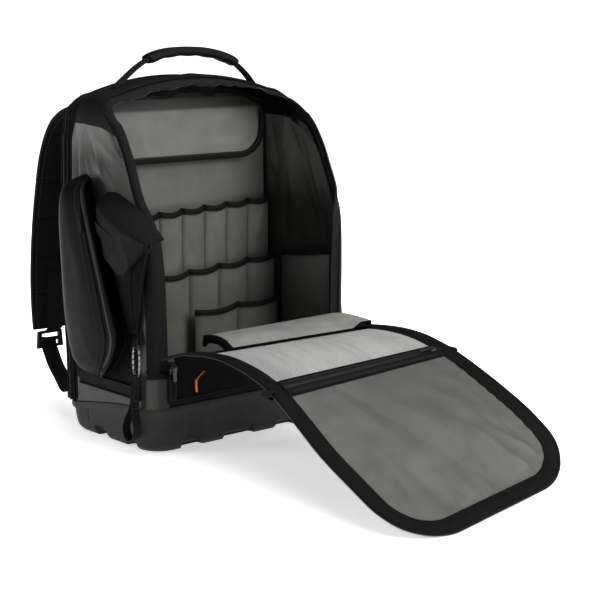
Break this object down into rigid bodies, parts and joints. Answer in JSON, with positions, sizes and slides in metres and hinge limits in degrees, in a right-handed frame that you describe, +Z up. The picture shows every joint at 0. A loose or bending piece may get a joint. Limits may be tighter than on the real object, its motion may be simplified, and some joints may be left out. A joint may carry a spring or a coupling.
{
  "type": "tool backpack",
  "caption": "Tool backpack on a moulded base, its clamshell front panel unzipped and folded down, with inside tool pockets, side pouches, carry handle and shoulder straps.",
  "frame": {"origin": "middle of the flat underside of the moulded base", "axes": "+Z up; the opened front faces -Y and the wearer's side faces +Y; +X is to the right seen from the front"},
  "size_m": [0.3786, 0.7862, 0.5058],
  "materials": {
    "black_nylon": "woven ballistic cloth",
    "grey_lining": "coated woven cloth, soft sheen",
    "grey_side": "coated woven cloth, glossy",
    "pale_mesh": "fine open mesh",
    "black_mesh": "spacer mesh",
    "webbing": "ribbed webbing",
    "zip_tape": "knitted zip tape with coil",
    "moulded_base": "moulded, fine matt grain",
    "buckle_plastic": "moulded acetal",
    "zip_metal": "dark plated",
    "clip_wire": "plated wire",
    "orange_pull": "moulded"
  },
  "bodies": {
    "root": {"base_boot": "moulded_base", "side_wall_left": "grey_side", "side_wall_right": "grey_side", "top_gusset": "black_nylon", "opening_zip_tape": "zip_tape", "lower_front_panel": "black_nylon", "back_wall": "grey_lining", "rear_gusset": "black_nylon", "back_panel": "black_mesh", "shoulder_strap_left": "black_mesh", "strap_webbing_left": "webbing", "strap_buckle_left": "buckle_plastic", "strap_anchor_left": "webbing", "shoulder_strap_right": "black_mesh", "strap_webbing_right": "webbing", "strap_buckle_right": "buckle_plastic", "strap_anchor_right": "webbing", "handle_webbing": "webbing", "handle_grip": "black_nylon", "side_pouch_left": "black_nylon", "slant_pocket_left": "black_nylon", "pocket_cover_left": "black_nylon", "cover_patch": "black_nylon", "tape_loop_tab": "webbing", "tape_loop_clip": "clip_wire", "tape_loop_webbing": "webbing", "mesh_pocket_right": "black_mesh", "arched_cover": "grey_lining", "tool_pockets_top": "grey_lining", "tool_pockets_middle": "grey_lining", "tool_pockets_front": "grey_lining", "wall_pocket_right": "grey_lining", "zip_slider_left": "zip_metal", "zip_end_tab_left": "webbing", "zip_slider_right": "zip_metal", "zip_end_tab_right": "webbing", "front_zip_pull": "orange_pull", "flap_panel": "black_nylon", "flap_rim": "zip_tape", "flap_mesh_pocket": "pale_mesh", "flap_zip_band": "zip_tape", "flap_zip_pocket": "grey_lining", "flap_hinge_cover": "grey_lining", "flap_tab_left": "webbing", "flap_tab_right": "webbing"}
  },
  "joints": []
}
